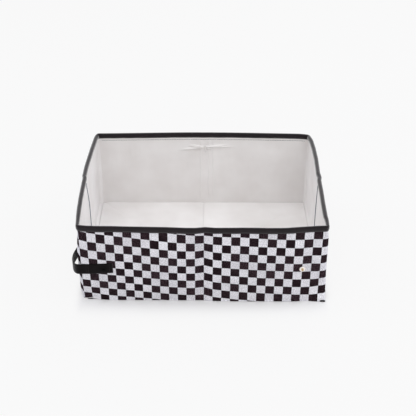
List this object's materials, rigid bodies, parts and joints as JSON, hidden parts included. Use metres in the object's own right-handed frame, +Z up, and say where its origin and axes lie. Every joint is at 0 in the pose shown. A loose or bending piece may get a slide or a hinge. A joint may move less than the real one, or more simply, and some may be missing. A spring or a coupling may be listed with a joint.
{
  "type": "foldable litter box",
  "caption": "Open-topped soft-sided litter box of checked canvas over thin boards, with a coated lining, bound rim and webbing handle, that folds flat and then in half.",
  "frame": {"origin": "centre of the floor's underside, where its two creases cross", "axes": "+X along the front wall to the right, +Y from the front wall to the back wall, +Z up"},
  "size_m": [0.4135, 0.304, 0.15],
  "materials": {
    "canvas": "woven canvas, black and pale grey checks, water-repellent back",
    "board": "thin flexible plastic board, matt",
    "liner": "coated waterproof lining cloth, soft sheen",
    "binding": "black grosgrain binding tape, ribbed, matt",
    "webbing": "black woven webbing",
    "snap_metal": "pale gold plated snap fastener, polished",
    "socket_metal": "black painted snap socket, satin"
  },
  "bodies": {
    "front_right": {"canvas_front_right": "canvas", "liner_front_right": "liner", "rim_binding_front_right": "binding", "board_front_right": "board", "snap_stud": "snap_metal", "snap_stud_cap": "snap_metal"},
    "front_left": {"canvas_front_left": "canvas", "liner_front_left": "liner", "rim_binding_front_left": "binding", "board_front_left": "board", "handle_strap": "webbing", "snap_socket": "socket_metal", "snap_socket_cap": "socket_metal"},
    "right_front": {"canvas_right_front": "canvas", "liner_right_front": "liner", "rim_binding_right_front": "binding", "board_right_front": "board"},
    "right_back": {"canvas_right_back": "canvas", "liner_right_back": "liner", "rim_binding_right_back": "binding", "board_right_back": "board"},
    "back_right": {"canvas_back_right": "canvas", "liner_back_right": "liner", "rim_binding_back_right": "binding", "board_back_right": "board", "liner_tack": "liner"},
    "back_crease": {"canvas_back_crease": "canvas", "liner_back_crease": "liner", "rim_binding_back_crease": "binding"},
    "left_front": {"canvas_left_front": "canvas", "liner_left_front": "liner", "rim_binding_left_front": "binding", "board_left_front": "board", "handle_side_tab": "webbing"},
    "left_back": {"canvas_left_back": "canvas", "liner_left_back": "liner", "rim_binding_left_back": "binding", "board_left_back": "board"},
    "back_left": {"canvas_back_left": "canvas", "liner_back_left": "liner", "rim_binding_back_left": "binding", "board_back_left": "board"},
    "floor_front_right": {"floor_canvas_front_right": "canvas", "floor_board_front_right": "board", "floor_liner_front_right": "liner", "end_gore_front_right": "liner"},
    "floor_back_right": {"floor_canvas_back_right": "canvas", "floor_board_back_right": "board", "floor_liner_back_right": "liner", "end_gore_back_right": "liner"},
    "floor_front_left": {"floor_canvas_front_left": "canvas", "floor_board_front_left": "board", "floor_liner_front_left": "liner", "end_gore_front_left": "liner"},
    "floor_back_left": {"floor_canvas_back_left": "canvas", "floor_board_back_left": "board", "floor_liner_back_left": "liner", "end_gore_back_left": "liner"}
  },
  "joints": [
    {"name": "fold", "type": "hinge", "parent": "front_right", "child": "right_front", "pos_m": [0.1948, -0.148, 0], "axis": [0, 0, 1], "range_deg": [0, 90]},
    {"name": "right_crease", "type": "hinge", "parent": "right_front", "child": "right_back", "pos_m": [0.2012, 0, 0], "axis": [0, 0, 1], "range_deg": [-180, 0]},
    {"name": "back_right_corner", "type": "hinge", "parent": "right_back", "child": "back_right", "pos_m": [0.1948, 0.148, 0], "axis": [0, 0, 1], "range_deg": [0, 90]},
    {"name": "half_fold", "type": "hinge", "parent": "front_right", "child": "front_left", "pos_m": [0, -0.153, 0], "axis": [0, 0, 1], "range_deg": [0, 180]},
    {"name": "front_left_corner", "type": "hinge", "parent": "front_left", "child": "left_front", "pos_m": [-0.1948, -0.148, 0], "axis": [0, 0, 1], "range_deg": [-90, 0]},
    {"name": "left_crease", "type": "hinge", "parent": "left_front", "child": "left_back", "pos_m": [-0.2012, 0, 0], "axis": [0, 0, 1], "range_deg": [0, 180]},
    {"name": "back_left_corner", "type": "hinge", "parent": "left_back", "child": "back_left", "pos_m": [-0.1948, 0.148, 0], "axis": [0, 0, 1], "range_deg": [-90, 0]},
    {"name": "back_spine", "type": "hinge", "parent": "back_right", "child": "back_crease", "pos_m": [0, 0.1302, 0], "axis": [0, 0, 1], "range_deg": [0, 180], "deforming": ["canvas_back_crease", "liner_back_crease", "rim_binding_back_crease"]},
    {"name": "floor_front_right_hinge", "type": "hinge", "parent": "front_right", "child": "floor_front_right", "pos_m": [0, -0.148, 0.0026], "axis": [1, 0, 0], "range_deg": [0, 90], "deforming": ["end_gore_front_right"]},
    {"name": "floor_crease_right", "type": "hinge", "parent": "floor_front_right", "child": "floor_back_right", "pos_m": [0, 0, -0.0038], "axis": [1, 0, 0], "range_deg": [-180, 0], "deforming": ["end_gore_back_right"]},
    {"name": "floor_front_left_hinge", "type": "hinge", "parent": "front_left", "child": "floor_front_left", "pos_m": [0, -0.148, 0.0026], "axis": [1, 0, 0], "range_deg": [0, 90], "deforming": ["end_gore_front_left"]},
    {"name": "floor_crease_left", "type": "hinge", "parent": "floor_front_left", "child": "floor_back_left", "pos_m": [0, 0, -0.0038], "axis": [1, 0, 0], "range_deg": [-180, 0], "deforming": ["end_gore_back_left"]}
  ],
  "couplings": [
    {"joint": "right_crease", "follows": "fold", "ratio": -2},
    {"joint": "back_right_corner", "follows": "fold", "ratio": 1},
    {"joint": "half_fold", "follows": "fold", "ratio": 2},
    {"joint": "front_left_corner", "follows": "fold", "ratio": -1},
    {"joint": "left_crease", "follows": "fold", "ratio": 2},
    {"joint": "back_left_corner", "follows": "fold", "ratio": -1},
    {"joint": "back_spine", "follows": "fold", "ratio": 2},
    {"joint": "floor_front_right_hinge", "follows": "fold", "ratio": 1},
    {"joint": "floor_crease_right", "follows": "fold", "ratio": -2},
    {"joint": "floor_front_left_hinge", "follows": "fold", "ratio": 1},
    {"joint": "floor_crease_left", "follows": "fold", "ratio": -2}
  ]
}
